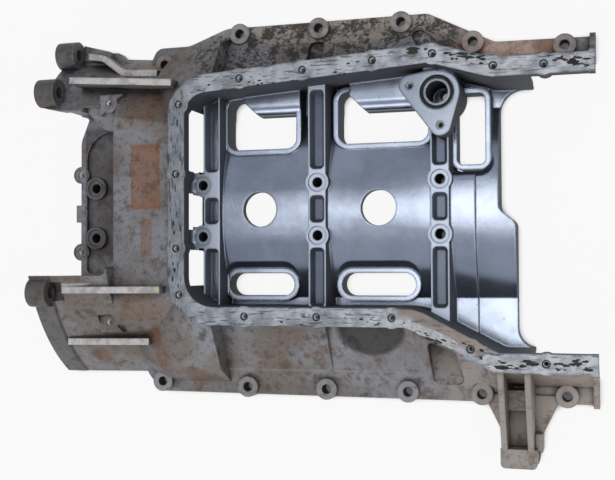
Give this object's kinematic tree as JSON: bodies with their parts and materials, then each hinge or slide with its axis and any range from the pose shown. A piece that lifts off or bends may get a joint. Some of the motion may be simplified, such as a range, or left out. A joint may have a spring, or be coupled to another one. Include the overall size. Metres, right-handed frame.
{
  "type": "engine upper oil pan",
  "caption": "Cast aluminium upper oil pan of a V engine: flanged frame with a curved, windowed windage tray, sump rail, oil port with its seal ring, and gearbox bolt arms.",
  "frame": {"origin": "middle of the main bearing bolts, on the engine block joint", "axes": "+X along the crankshaft towards the timing end, +Z from the block joint towards the sump joint"},
  "size_m": [0.494, 0.3935, 0.0912],
  "materials": {
    "cast_aluminium": "sand cast, machined joints, stained by oil and dirt",
    "seal_rubber": "smooth black rubber"
  },
  "bodies": {
    "root": {"pan_casting": "cast_aluminium", "port_seal_ring": "seal_rubber"}
  },
  "joints": []
}
